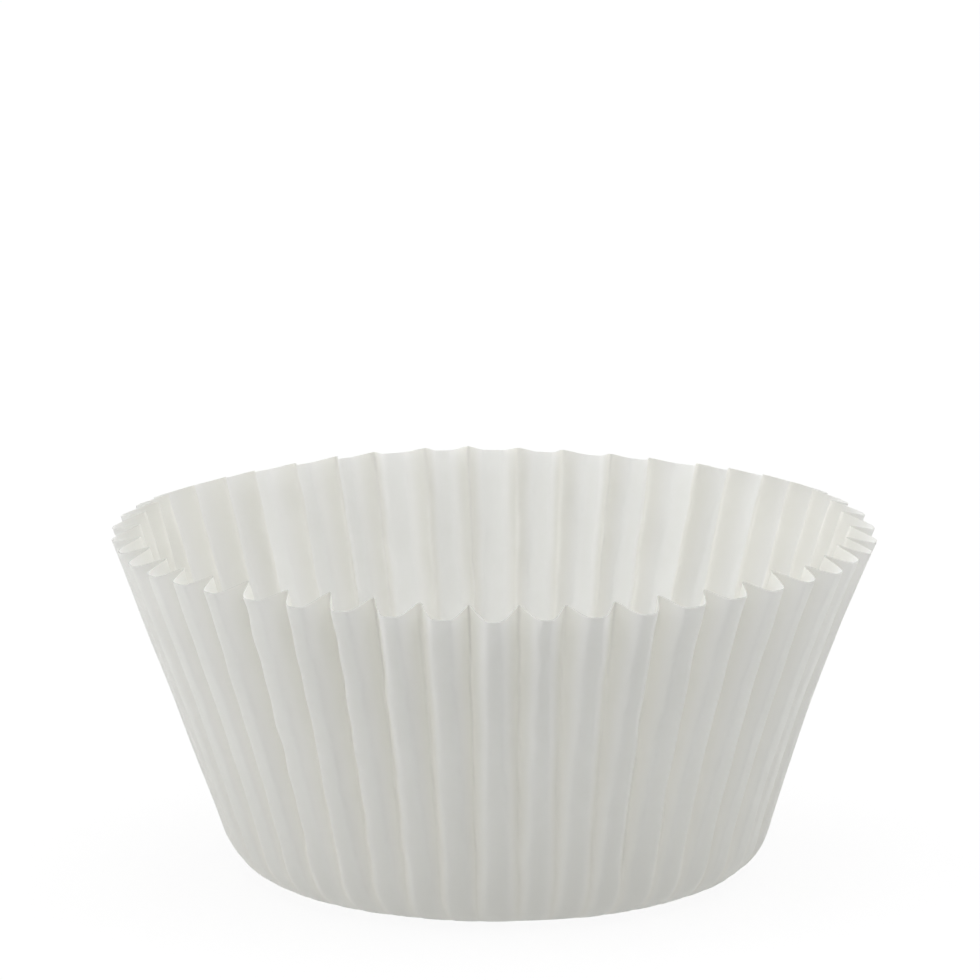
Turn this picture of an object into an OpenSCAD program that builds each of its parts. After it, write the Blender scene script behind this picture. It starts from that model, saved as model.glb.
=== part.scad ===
// Cupcake liner: a fluted cup, pressed from one disc of thin white greaseproof paper.
// The flat base turns up through a rounded corner into a leaning wall. The disc has more
// girth than the cup, and pleats all round fold the rest away, so they start where the
// base ends and deepen all the way up to the rim. Each pleat has a flat crest outside and
// two hollow flanks that bend away from it, ever steeper, and meet in a sharp valley inside.
// Millimetres. The origin is the middle of the base, on the table, and +Z is up.

/* [Paper] */
// Thickness of the paper
paper_t = 0.06; // [0.04:0.01:0.2]

/* [Cup] */
// Base across, out to where the line of the wall meets the table
base_d = 50; // [40:0.5:60]
// Rim across, from crest to crest
rim_d = 73.5; // [66:0.5:90]
// Height of the rim at the crests
rim_h = 33; // [22:0.5:50]
// Radius of the rounded corner between the base and the wall
corner_r = 6.6; // [2:0.2:8]

/* [Pleats] */
// Number of pleats
pleats = 46; // [30:1:50]
// Share of each pleat's width that the flat crest takes
crest_share = 0.3; // [0.2:0.05:0.6]
// Hollowness of the flanks, where 1 is straight
flank_hollow = 1.6; // [1:0.05:2]

/* [Hidden] */

// Facets up the corner, up the wall, and across one flank
corner_facets = 4;
wall_facets = 4;
flank_facets = 3;

// Whole pleats that go round
pleat_count = round(pleats);

// Lean of the wall from upright, and the turn of the paper from the base to the wall
wall_lean = atan2(rim_d - base_d, 2 * rim_h);
corner_turn = 90 - wall_lean;

// How much of the base and of the wall the corner takes
corner_reach = corner_r * tan(corner_turn / 2);
floor_r = base_d / 2 - corner_reach;

// Paper round the corner, and from its end up to the rim
corner_len = corner_r * corner_turn * PI / 180;
wall_len = norm([(rim_d - base_d) / 2, rim_h]) - corner_reach;

// Stations up the paper, as distances from the edge of the flat base
stations = concat(
    [for (k = [0 : corner_facets]) corner_len * k / corner_facets],
    [for (k = [1 : wall_facets]) corner_len + wall_len * k / wall_facets]
);
rim = len(stations) - 1;

// Folds across one pleat, as shares of half its width on each side of the crest's middle.
// The valley on the right belongs to the next pleat
half_folds = [for (k = [0 : flank_facets]) crest_share + (1 - crest_share) * k / flank_facets];
folds = concat(
    [for (k = [flank_facets : -1 : 0]) -half_folds[k]],
    [for (k = [0 : flank_facets - 1]) half_folds[k]]
);
columns = pleat_count * len(folds);

// Turn of the paper at a station, from 0 on the base to corner_turn on the wall
function turn_at(s) = corner_turn * min(s / corner_len, 1);

// Radius and height of the crests at a station
function crest_at(s) =
    let (turn = turn_at(s), up_wall = max(s - corner_len, 0))
    [
        floor_r + corner_r * sin(turn) + up_wall * sin(wall_lean),
        corner_r * (1 - cos(turn)) + up_wall * cos(wall_lean)
    ];

// Depth of the pleats at a station. A pleat's share of the disc's girth covers its crest
// and both flanks, and each flank is all but the long side of a right triangle
function depth_at(s) =
    let (
        disc_share = 2 * PI * (floor_r + s) / pleat_count,
        cup_share = 2 * PI * crest_at(s)[0] / pleat_count,
        crest = crest_share * cup_share,
        flank = (disc_share - crest) / 2,
        flank_width = (cup_share - crest) / 2
    )
    sqrt(max(pow(flank, 2) - pow(flank_width, 2), 0));

// How far in a fold lies, as a share of the depth: 0 on the crest and 1 in the valley
function sink_of(fold) = pow(max(abs(fold) - crest_share, 0) / (1 - crest_share), flank_hollow);

// Point on the outside of the paper. Folds sink square to the line of the crests
function outside_point(s, column) =
    let (
        pleat = floor(column / len(folds)),
        fold = folds[column - pleat * len(folds)],
        angle = (pleat + fold / 2) * 360 / pleat_count,
        sink = depth_at(s) * sink_of(fold),
        r = crest_at(s)[0] - sink * sin(turn_at(s)),
        z = crest_at(s)[1] + sink * cos(turn_at(s))
    )
    [r * sin(angle), -r * cos(angle), z];

outside = [for (s = stations) [for (column = [0 : columns - 1]) outside_point(s, column)]];

function at(i, column) = outside[i][(column + columns) % columns];
function unit(v) = v / norm(v);

// Direction up the paper at a point, which is flat where the corner leaves the base
function uphill(i, column) =
    i == 0
    ? at(0, column)
    : at(min(i + 1, rim), column) - at(i - 1, column);

// Outward normal of the facet between a column and the next one
function facet_normal(i, column, from) =
    unit(cross(at(i, column + 1) - at(i, column), uphill(i, from)));

// Point on the inside, mitred so that the paper keeps its thickness at every fold
function inside_point(i, column) =
    let (
        left = facet_normal(i, column - 1, column),
        right = facet_normal(i, column, column),
        middle = unit(left + right)
    )
    at(i, column) - middle * paper_t / (middle * left);

inside = [for (i = [0 : rim]) [for (column = [0 : columns - 1]) inside_point(i, column)]];

// Both skins as one list of points, with the middle of the base last
function flat_list(rings) = [for (ring = rings) for (point = ring) point];
points = concat(flat_list(outside), flat_list(inside), [[0, 0, 0], [0, 0, paper_t]]);

// A point's number, where skin 0 is the outside and skin 1 the inside
function number(skin, i, column) = (skin * (rim + 1) + i) * columns + column % columns;
function middle_number(skin) = 2 * (rim + 1) * columns + skin;

// Two triangles on a patch of four corners, cut so that the two flanks mirror each other
function patch(a, b, c, d, on_left) = on_left ? [[a, b, c], [a, c, d]] : [[a, b, d], [b, c, d]];

// Patches of one skin. The inside runs the other way round, so that it faces inwards
function skin_faces(skin) = [
    for (i = [0 : rim - 1], column = [0 : columns - 1])
        let (
            low = [number(skin, i, column), number(skin, i, column + 1)],
            high = [number(skin, i + 1, column), number(skin, i + 1, column + 1)],
            on_left = column % len(folds) < flank_facets
        )
        each skin == 0
            ? patch(low[0], high[0], high[1], low[1], on_left)
            : patch(low[1], high[1], high[0], low[0], !on_left)
];

// Triangles of the flat base, out from its middle
function base_faces(skin) = [
    for (column = [0 : columns - 1])
        let (here = number(skin, 0, column), next = number(skin, 0, column + 1))
        skin == 0 ? [middle_number(0), here, next] : [middle_number(1), next, here]
];

// Cut edge of the paper at the rim
edge_faces = [
    for (column = [0 : columns - 1])
        each patch(
            number(0, rim, column), number(1, rim, column),
            number(1, rim, column + 1), number(0, rim, column + 1),
            column % len(folds) < flank_facets
        )
];

module liner() {
    color("whitesmoke")
        polyhedron(
            points = points,
            faces = concat(skin_faces(0), skin_faces(1), base_faces(0), base_faces(1), edge_faces)
        );
}

liner();
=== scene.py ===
"""A white paper cupcake liner on a pale floor, in soft studio light.

The paper is one closed mesh of the same cup as the frame's solid, with its own creases:
finer, softer at the folds, and a little uneven, as pressed paper is.
Lengths are millimetres until the mesh is made, and metres after that.
"""

import math

import bpy
import numpy as np
from mathutils import Matrix, Vector

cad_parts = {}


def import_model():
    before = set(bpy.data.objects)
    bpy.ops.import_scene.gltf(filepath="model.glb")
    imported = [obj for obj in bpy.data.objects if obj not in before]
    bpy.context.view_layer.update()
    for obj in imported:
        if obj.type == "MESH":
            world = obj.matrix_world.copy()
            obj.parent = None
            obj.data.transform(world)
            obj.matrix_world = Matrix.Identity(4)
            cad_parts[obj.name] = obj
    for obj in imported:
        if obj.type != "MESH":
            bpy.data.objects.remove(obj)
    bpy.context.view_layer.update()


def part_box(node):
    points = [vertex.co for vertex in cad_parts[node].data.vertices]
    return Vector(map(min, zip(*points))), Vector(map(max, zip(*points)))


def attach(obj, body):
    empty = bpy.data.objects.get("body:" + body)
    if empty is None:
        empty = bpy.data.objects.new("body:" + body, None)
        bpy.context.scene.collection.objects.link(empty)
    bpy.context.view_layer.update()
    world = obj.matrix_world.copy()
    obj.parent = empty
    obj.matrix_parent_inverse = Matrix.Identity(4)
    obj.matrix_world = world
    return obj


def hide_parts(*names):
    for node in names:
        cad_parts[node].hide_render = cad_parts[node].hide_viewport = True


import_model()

MM = 0.001

# The cup, as the frame's solid has it. The circle of its crests at the rim lies a little
# outside the solid's box
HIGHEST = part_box("liner")[1]
BOX_TO_CRESTS = 0.03
RIM_R = HIGHEST[0] / MM + BOX_TO_CRESTS
BASE_R = 25.0
RIM_H = 33.0
CORNER_R = 6.6
PAPER_T = 0.06
PLEATS = 46

# The folds at the foot of the wall and at the rim, as shares of half a pleat. At the foot
# broad flat crests stand between narrow grooves. At the rim the crests are narrow, and
# their hollow flanks take up the rest
CREST_SHARE = (0.62, 0.30)
FLANK_HOLLOW = (1.2, 1.6)
VALLEY_ROUND = (0.12, 0.14)
SHOULDER_ROUND = (0.10, 0.12)

# Where the folds are lighter, partly as pressed folds whiten and partly as a painted highlight of
# the side light: the whole groove at the foot, and a band by the crest above
CREASE_OFFSET = (0.26, 0.13)
CREASE_WIDTH = (0.28, 0.18)
CREASE_WHITENING_AND_HIGHLIGHT = (0.5, 1.0)

# How fine the mesh is. The columns lie closer together at the folds
FLOOR_RINGS = 3
FLOOR_SPAN = 0.97
CORNER_RINGS = 12
WALL_RINGS = 31
RIM_STRIP = 0.03
CREST_COLUMNS = (0.0, 0.5, 0.85)
FLANK_COLUMNS = (0.0, 0.07, 0.16, 0.3, 0.45, 0.6, 0.75, 0.88, 1.0)

# How uneven the pressing is, from fold to fold
SEED = 127101
VALLEY_DRIFT = 0.05
CREST_SHARE_DRIFT = 0.05
DEPTH_DRIFT = 0.07
CREST_DRIFT = 0.10

# Sideways swings of each fold up the paper, and their lengths
VALLEY_SWING = 0.012
CREASE_SWING = 0.03
SWING_SIZE = 0.6
SWING_LENGTHS = (14, 8, 5)

# Low waves over the paper, each as its turns round the cup and its length up the paper,
# and what their sum is divided by
WAVE_HEIGHT = 0.06
WAVES = ((2, 60), (3, 38), (5, 30), (9, 22), (14, 17), (23, 12))
WAVES_SUM = 2.5

# Stretches up the paper from the edge of the flat base, over which the folds' colour, the
# crests' drift and the waves come in. The waves begin a little before that edge
COLOUR_START = 6
CREST_DRIFT_START = 12
WAVE_START = 12
WAVE_LEAD = 6

# How far the wall has given: its rim has moved to the left and waves up and down, and
# it is a little hollow from base to rim, more so on the right
RIM_SHIFT = -0.36
RIM_WAVE = 0.18
RIM_WAVE_TURNS = 5
RIM_WAVE_PEAK = -28.0
WALL_HOLLOW = 0.42
WALL_HOLLOW_RIGHT = 0.31

# How far up from the base the paper is painted a touch darker, as painted shade near the floor
FOOT_SHADE_HEIGHT = 18.0

# Colours of the paper. Its cloudy parts lie between the first two, and the painted shade of the
# grooves, a warm tint for light bounced between the folds, is multiplied in
PAPER_DARK = (0.93, 0.932, 0.913, 1)
PAPER_LIGHT = (0.95, 0.952, 0.938, 1)
# Painted shade near the floor: the paper is darker towards the base
FOOT_SHADE_COLOUR = (0.89, 0.89, 0.87, 1)
# Lighter creases: partly the whitening of pressed folds, partly a painted highlight
CREASE_WHITENING_AND_HIGHLIGHT_COLOUR = (0.975, 0.975, 0.965, 1)
# Painted shade in the grooves, warm as light bounced between the folds
GROOVE_SHADE_TINT = (1.0, 0.994, 0.98, 1)
# Painted shade on the cut edge, which dims its lit top at the rim
CUT_EDGE_SHADE_COLOUR = (0.62, 0.62, 0.60, 1)

# Share of the light that comes through the paper, and its soft gloss
TRANSLUCENT_SHARE = 0.53
PAPER_ROUGHNESS = 0.5
PAPER_SPECULAR = 0.5

# Clouds and fibres of the paper. Their scales are per metre
CLOUD_SCALE = 450
CLOUD_DETAIL = 5
CLOUD_ROUGHNESS = 0.6
CLOUD_FROM, CLOUD_TO = 0.3, 0.7
FIBRE_SCALE = 2500
FIBRE_DETAIL = 4
FIBRE_BUMP = 0.15
FIBRE_DEPTH = 0.03

# The floor: half its width, its drop below the paper, its grey as the paper sees it, and
# how much of what the camera sees of it glows, and how strongly
FLOOR_HALF = 4000.0
FLOOR_DROP = 0.05
FLOOR_GREY = (0.3, 0.3, 0.3, 1)
FLOOR_GLOW_SHARE = 0.8
FLOOR_GLOW = 1.15

# The lamps, each as its strength, its softness in degrees and the way it shines
LAMPS = {
    "top": (2.75, 60, (0.0, 0.0, -1)),
    "front": (1.05, 90, (0.0, 1.0, -1)),
    "left": (1.25, 90, (1.0, 0.0, -0.5)),
    "low_left": (0.7, 60, (1.0, -0.2, 0.0)),
    "right": (1.75, 90, (-1.0, -0.45, -0.5)),
}

# The camera, as the photograph was taken
CAMERA_DISTANCE = 1200.0
CAMERA_RISE = 12.60
CAMERA_ROLL = -0.08
CAMERA_AIM = (-0.70, 0.0, 37.30)
SENSOR_W = 36.0
CAMERA_LENS = 458.9


def profile():
    """Distances up the paper from the edge of the flat base, and the cup's angles."""
    lean = math.atan2(RIM_R - BASE_R, RIM_H)
    turn = math.pi / 2 - lean
    reach = CORNER_R * math.tan(turn / 2)
    corner_len = CORNER_R * turn
    wall_len = math.hypot(RIM_R - BASE_R, RIM_H) - reach
    floor_r = BASE_R - reach
    stations = np.concatenate([
        np.linspace(-floor_r * FLOOR_SPAN, 0, FLOOR_RINGS, endpoint=False),
        np.linspace(0, corner_len, CORNER_RINGS, endpoint=False),
        corner_len + np.linspace(0, wall_len - RIM_STRIP, WALL_RINGS),
        [corner_len + wall_len],
    ])
    return stations, floor_r, corner_len, lean, turn


def crest_line(s, floor_r, corner_len, lean, turn):
    """Radius, height and turn of the crests at distance s up the paper."""
    angle = np.clip(s / corner_len, 0, 1) * turn
    up_wall = np.maximum(s - corner_len, 0)
    r = floor_r + np.minimum(s, 0) + CORNER_R * np.sin(angle) + up_wall * math.sin(lean)
    z = CORNER_R * (1 - np.cos(angle)) + up_wall * math.cos(lean)
    return r, z, angle


def pleat_depth(s, r, floor_r, crest_share):
    """Depth of the pleats where the disc's spare girth goes into the flanks."""
    disc_share = 2 * math.pi * (floor_r + s) / PLEATS
    cup_share = 2 * math.pi * r / PLEATS
    crest = crest_share * cup_share
    flank = (disc_share - crest) / 2
    flank_width = (cup_share - crest) / 2
    return np.sqrt(np.maximum(flank**2 - flank_width**2, 0))


def between(ends, up):
    """Value that goes from one end at the foot of the wall to the other at the rim."""
    return ends[0] + (ends[1] - ends[0]) * up


def comes_in(s, stretch):
    """0 at the start, and 1 from the end of a stretch up the paper."""
    return np.clip(s / stretch, 0, 1)


def fold_columns():
    """Columns across one pleat, as the side, the part of the crest and the part of the flank."""
    crest = [(part, 0.0) for part in CREST_COLUMNS]
    flank = [(1.0, part) for part in FLANK_COLUMNS]
    half = crest + flank
    left = [(-1, c, f) for c, f in reversed(half)]
    right = [(1, c, f) for c, f in half[1:-1]]
    return np.array(left + right)


def soft_positive(x, width):
    """Zero below nought and x above it, with a round bend between."""
    return (x + np.sqrt(x * x + width * width)) / 2


def sink_share(fold, crest_share, up):
    """How far in a fold lies: 0 on the crest and 1 in the valley."""
    valley = between(VALLEY_ROUND, up)
    from_valley = np.sqrt((1 - np.abs(fold)) ** 2 + valley**2) - valley
    from_valley = from_valley / (np.sqrt(1 + valley**2) - valley)
    past_crest = soft_positive(1 - from_valley - crest_share, between(SHOULDER_ROUND, up))
    return (past_crest / (1 - crest_share)) ** between(FLANK_HOLLOW, up)


def swings(count, s, rng):
    """Small sideways swings of each fold up the paper, from -1 to 1 or so."""
    total = np.zeros((len(s), count))
    for length in SWING_LENGTHS:
        phase = rng.uniform(0, 2 * math.pi, count)
        size = rng.normal(0, SWING_SIZE, count)
        total += size * np.sin(2 * math.pi * s / length + phase)
    return total


def waves(angle, s, rng):
    """Long, low waves over the paper, from -1 to 1 or so."""
    total = np.zeros(np.broadcast(angle, s).shape)
    for turns, length in WAVES:
        phase = rng.uniform(0, 2 * math.pi, 2)
        total += np.sin(turns * angle + phase[0]) * np.sin(2 * math.pi * s / length + phase[1])
    return total / WAVES_SUM


def paper_points():
    """The outside of the paper as rings of points, and the marks that its colour follows."""
    rng = np.random.default_rng(SEED)
    stations, floor_r, corner_len, lean, turn = profile()
    s = stations[:, None]
    up = comes_in(s, stations[-1])
    columns = np.tile(fold_columns(), (PLEATS, 1))
    pleat = np.repeat(np.arange(PLEATS), len(columns) // PLEATS)
    next_pleat = (pleat + 1) % PLEATS
    on_left, crest_part, flank_part = columns[:, 0] < 0, columns[:, 1], columns[:, 2]

    low_drift, high_drift = rng.normal(0, VALLEY_DRIFT, (2, PLEATS))
    drift = low_drift * (1 - up) + high_drift * up
    share_drift = rng.normal(0, CREST_SHARE_DRIFT, PLEATS)
    depth_factor = 1 + rng.normal(0, DEPTH_DRIFT, PLEATS)
    crest_drift = rng.normal(0, CREST_DRIFT, PLEATS)
    drift = drift + swings(PLEATS, s, rng) * VALLEY_SWING
    swing = np.where(on_left, swings(PLEATS, s, rng)[:, pleat], swings(PLEATS, s, rng)[:, pleat])

    share = between(CREST_SHARE, up) + share_drift[pleat] + swing * CREASE_SWING
    fold = (crest_part * share + flank_part * (1 - share)) * columns[:, 0]
    left = pleat - 0.5 + drift[:, pleat]
    right = pleat + 0.5 + drift[:, next_pleat]
    angle = ((left + right) / 2 + fold * (right - left) / 2) * 2 * math.pi / PLEATS

    r, z, tilt = crest_line(s, floor_r, corner_len, lean, turn)
    depth = pleat_depth(s, r, floor_r, share) * depth_factor[np.where(on_left, pleat, next_pleat)]
    sunk = sink_share(fold, share, up)
    crest_shift = crest_drift[pleat] * comes_in(s, CREST_DRIFT_START)
    lift = waves(angle, s, rng) * WAVE_HEIGHT * comes_in(s + WAVE_LEAD, WAVE_START)
    sink = depth * sunk + crest_shift * (1 - sunk) + lift
    sink = np.where(s <= 0, np.maximum(sink, 0), sink)

    part = np.clip(z / RIM_H, 0, 1)
    hollow = WALL_HOLLOW + WALL_HOLLOW_RIGHT * np.sin(angle)
    radius = r - sink * np.sin(tilt) - hollow * 4 * part * (1 - part)
    rim_wave = np.cos(RIM_WAVE_TURNS * (angle - math.radians(RIM_WAVE_PEAK)))
    height = np.maximum(z + sink * np.cos(tilt), 0) + RIM_WAVE * rim_wave * part**2
    x = radius * np.sin(angle) + RIM_SHIFT * part
    points = np.stack([x, -radius * np.cos(angle), height], -1)

    from_crease = (np.abs(fold) - share - between(CREASE_OFFSET, up)) / between(CREASE_WIDTH, up)
    on_wall = comes_in(s, COLOUR_START)
    # The crease mark is partly the folds' whitening and partly a painted highlight
    crease = np.exp(-(from_crease**2)) * between(CREASE_WHITENING_AND_HIGHLIGHT, up) * on_wall
    # The groove mark carries the painted shade of the grooves
    groove_shade = np.clip(sunk, 0, 1) * on_wall
    # This mark carries the painted shade near the floor
    foot = np.broadcast_to(np.clip(1 - z / FOOT_SHADE_HEIGHT, 0, 1), crease.shape)
    return points, {"crease": crease, "groove_shade": groove_shade, "foot": foot}


def skin_normals(points):
    """Outward normals of the rings of points."""
    around = np.roll(points, -1, 1) - np.roll(points, 1, 1)
    uphill = np.gradient(points, axis=0)
    normal = np.cross(around, uphill)
    return normal / np.linalg.norm(normal, axis=2, keepdims=True)


def mark(mesh, name, domain, values):
    """Store a value for each point or face, for the material to read."""
    values = np.asarray(values, dtype=np.float32)
    mesh.attributes.new(name, "FLOAT", domain).data.foreach_set("value", values)


def paper_mesh():
    """Both skins of the paper, the cut edge at the rim and the middle of the base."""
    outside, marks = paper_points()
    inside = outside - skin_normals(outside) * PAPER_T
    rings, columns = outside.shape[:2]
    middle = np.array([[0, 0, outside[0, :, 2].mean()], [0, 0, inside[0, :, 2].mean()]])
    vertices = np.concatenate([outside.reshape(-1, 3), inside.reshape(-1, 3), middle])
    count = rings * columns

    here = np.arange(columns)
    after = np.roll(here, -1)
    low = (np.arange(rings - 1) * columns)[:, None]
    quads = np.stack([low + here, low + after, low + columns + after, low + columns + here], -1)
    quads = quads.reshape(-1, 4)
    top = (rings - 1) * columns
    edge = np.stack([top + here, top + after, top + after + count, top + here + count], -1)
    faces = edge.tolist() + quads.tolist() + (quads[:, ::-1] + count).tolist()
    faces += np.stack([after, here, np.full(columns, 2 * count)], -1).tolist()
    faces += np.stack([here + count, after + count, np.full(columns, 2 * count + 1)], -1).tolist()

    mesh = bpy.data.meshes.new("paper")
    mesh.from_pydata((vertices * MM).tolist(), [], faces)
    mesh.update()
    mesh.shade_smooth()
    on_edge = np.arange(len(faces)) < columns
    mesh.polygons.foreach_set("use_smooth", ~on_edge)
    for name, values in marks.items():
        skin = values.ravel()
        mark(mesh, name, "POINT", np.concatenate([skin, skin, [values[0, 0]] * 2]))
    # The cut edge at the rim is marked for its painted shade
    mark(mesh, "cut_edge_shade", "FACE", on_edge)
    return mesh


def where_marked(nodes, links, plain, name, marked, blend="MIX"):
    """A plain colour that goes over to another one where the mesh is marked."""
    amount = nodes.new("ShaderNodeAttribute")
    amount.attribute_name = name
    mix = nodes.new("ShaderNodeMix")
    mix.data_type = "RGBA"
    mix.blend_type = blend
    mix.inputs["B"].default_value = marked
    links.new(amount.outputs["Fac"], mix.inputs["Factor"])
    links.new(plain, mix.inputs["A"])
    return mix.outputs["Result"]


def empty_nodes(owner):
    """The nodes and links of a material or world, with nothing in them yet."""
    owner.use_nodes = True
    owner.node_tree.nodes.clear()
    return owner.node_tree.nodes, owner.node_tree.links


def paper_material():
    """Thin white greaseproof paper: smooth, faintly cloudy, and lit through from behind."""
    mat = bpy.data.materials.new("white_greaseproof_paper")
    nodes, links = empty_nodes(mat)
    out = nodes.new("ShaderNodeOutputMaterial")
    mix = nodes.new("ShaderNodeMixShader")
    mix.inputs["Fac"].default_value = TRANSLUCENT_SHARE
    face = nodes.new("ShaderNodeBsdfPrincipled")
    face.inputs["Roughness"].default_value = PAPER_ROUGHNESS
    face.inputs["Specular IOR Level"].default_value = PAPER_SPECULAR
    through = nodes.new("ShaderNodeBsdfTranslucent")
    where = nodes.new("ShaderNodeTexCoord")

    cloud = nodes.new("ShaderNodeTexNoise")
    cloud.inputs["Scale"].default_value = CLOUD_SCALE
    cloud.inputs["Detail"].default_value = CLOUD_DETAIL
    cloud.inputs["Roughness"].default_value = CLOUD_ROUGHNESS
    tint = nodes.new("ShaderNodeValToRGB")
    dark, light = tint.color_ramp.elements
    dark.position, dark.color = CLOUD_FROM, PAPER_DARK
    light.position, light.color = CLOUD_TO, PAPER_LIGHT
    # Painted shade near the floor
    colour = where_marked(nodes, links, tint.outputs["Color"], "foot", FOOT_SHADE_COLOUR)
    # Lighter creases, partly whitened folds and partly a painted highlight
    colour = where_marked(nodes, links, colour, "crease", CREASE_WHITENING_AND_HIGHLIGHT_COLOUR)
    # Painted shade in the grooves
    colour = where_marked(nodes, links, colour, "groove_shade", GROOVE_SHADE_TINT, "MULTIPLY")
    # Painted shade on the cut edge at the rim
    colour = where_marked(nodes, links, colour, "cut_edge_shade", CUT_EDGE_SHADE_COLOUR)

    fibre = nodes.new("ShaderNodeTexNoise")
    fibre.inputs["Scale"].default_value = FIBRE_SCALE
    fibre.inputs["Detail"].default_value = FIBRE_DETAIL
    bump = nodes.new("ShaderNodeBump")
    bump.inputs["Strength"].default_value = FIBRE_BUMP
    bump.inputs["Distance"].default_value = FIBRE_DEPTH * MM

    links.new(where.outputs["Object"], cloud.inputs["Vector"])
    links.new(where.outputs["Object"], fibre.inputs["Vector"])
    links.new(cloud.outputs["Fac"], tint.inputs["Fac"])
    links.new(colour, face.inputs["Base Color"])
    links.new(colour, through.inputs["Color"])
    links.new(fibre.outputs["Fac"], bump.inputs["Height"])
    links.new(bump.outputs["Normal"], face.inputs["Normal"])
    links.new(face.outputs["BSDF"], mix.inputs[1])
    links.new(through.outputs["BSDF"], mix.inputs[2])
    links.new(mix.outputs["Shader"], out.inputs["Surface"])
    return mat


def calculated(nodes, links, operation, first, second):
    """The result of one sum on two sockets."""
    node = nodes.new("ShaderNodeMath")
    node.operation = operation
    links.new(first, node.inputs[0])
    links.new(second, node.inputs[1])
    return node.outputs["Value"]


def seen_directly(nodes, links):
    """1 for rays that show the stage in the picture, and 0 for rays that light the paper.

    Light that comes through the paper counts as both transmitted and diffuse, so it is lit
    as the paper's face is.
    """
    ray = nodes.new("ShaderNodeLightPath").outputs
    clear = calculated(
        nodes, links, "SUBTRACT", ray["Is Transmission Ray"], ray["Is Diffuse Ray"]
    )
    mirrored = calculated(nodes, links, "MAXIMUM", ray["Is Glossy Ray"], clear)
    return calculated(nodes, links, "MAXIMUM", ray["Is Camera Ray"], mirrored)


def stage():
    """A plain white floor that keeps the object's shadow."""
    half = FLOOR_HALF * MM
    mesh = bpy.data.meshes.new("floor")
    corners = [(-half, -half, 0), (half, -half, 0), (half, half, 0), (-half, half, 0)]
    mesh.from_pydata(corners, [], [(0, 1, 2, 3)])
    floor = bpy.data.objects.new("floor", mesh)
    bpy.context.collection.objects.link(floor)
    floor.location.z = -FLOOR_DROP * MM
    mat = bpy.data.materials.new("floor_white")
    nodes, links = empty_nodes(mat)
    out = nodes.new("ShaderNodeOutputMaterial")
    mix = nodes.new("ShaderNodeMixShader")
    matt = nodes.new("ShaderNodeBsdfDiffuse")
    matt.inputs["Color"].default_value = FLOOR_GREY
    glow = nodes.new("ShaderNodeEmission")
    glow.inputs["Strength"].default_value = FLOOR_GLOW
    level = nodes.new("ShaderNodeMath")
    level.operation = "MULTIPLY"
    level.inputs[1].default_value = FLOOR_GLOW_SHARE
    links.new(seen_directly(nodes, links), level.inputs[0])
    links.new(level.outputs["Value"], mix.inputs["Fac"])
    links.new(matt.outputs["BSDF"], mix.inputs[1])
    links.new(glow.outputs["Emission"], mix.inputs[2])
    links.new(mix.outputs["Shader"], out.inputs["Surface"])
    mesh.materials.append(mat)


def world():
    """White behind the object, and no light of its own: the lamps light the paper."""
    sky = bpy.data.worlds.new("studio")
    bpy.context.scene.world = sky
    nodes, links = empty_nodes(sky)
    out = nodes.new("ShaderNodeOutputWorld")
    white = nodes.new("ShaderNodeBackground")
    white.inputs["Color"].default_value = (1, 1, 1, 1)
    links.new(seen_directly(nodes, links), white.inputs["Strength"])
    links.new(white.outputs["Background"], out.inputs["Surface"])


def sun(name, strength, softness, direction):
    """A soft distant lamp that shines along a direction."""
    data = bpy.data.lights.new(name, "SUN")
    data.energy = strength
    data.angle = math.radians(softness)
    lamp = bpy.data.objects.new(name, data)
    lamp.rotation_euler = Vector(direction).to_track_quat("-Z", "Y").to_euler()
    bpy.context.collection.objects.link(lamp)


def camera():
    """The photograph's view, from the front and a little above."""
    data = bpy.data.cameras.new("camera")
    data.sensor_width = SENSOR_W
    data.lens = CAMERA_LENS
    cam = bpy.data.objects.new("camera", data)
    bpy.context.collection.objects.link(cam)
    rise = math.radians(CAMERA_RISE)
    back = Vector((0, -math.cos(rise), math.sin(rise))) * CAMERA_DISTANCE
    place = (Vector(CAMERA_AIM) + back) * MM
    tilt = Matrix.Rotation(math.pi / 2 - rise, 4, "X")
    roll = Matrix.Rotation(math.radians(CAMERA_ROLL), 4, "Z")
    cam.matrix_world = Matrix.Translation(place) @ tilt @ roll
    bpy.context.scene.camera = cam


camera()
world()
stage()
for lamp_name, (strength, softness, direction) in LAMPS.items():
    sun(lamp_name, strength, softness, direction)

liner = bpy.data.objects.new("paper_liner", paper_mesh())
bpy.context.collection.objects.link(liner)
liner.data.materials.append(paper_material())
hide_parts("liner")
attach(liner, "root")

bpy.context.scene.view_settings.view_transform = "Standard"
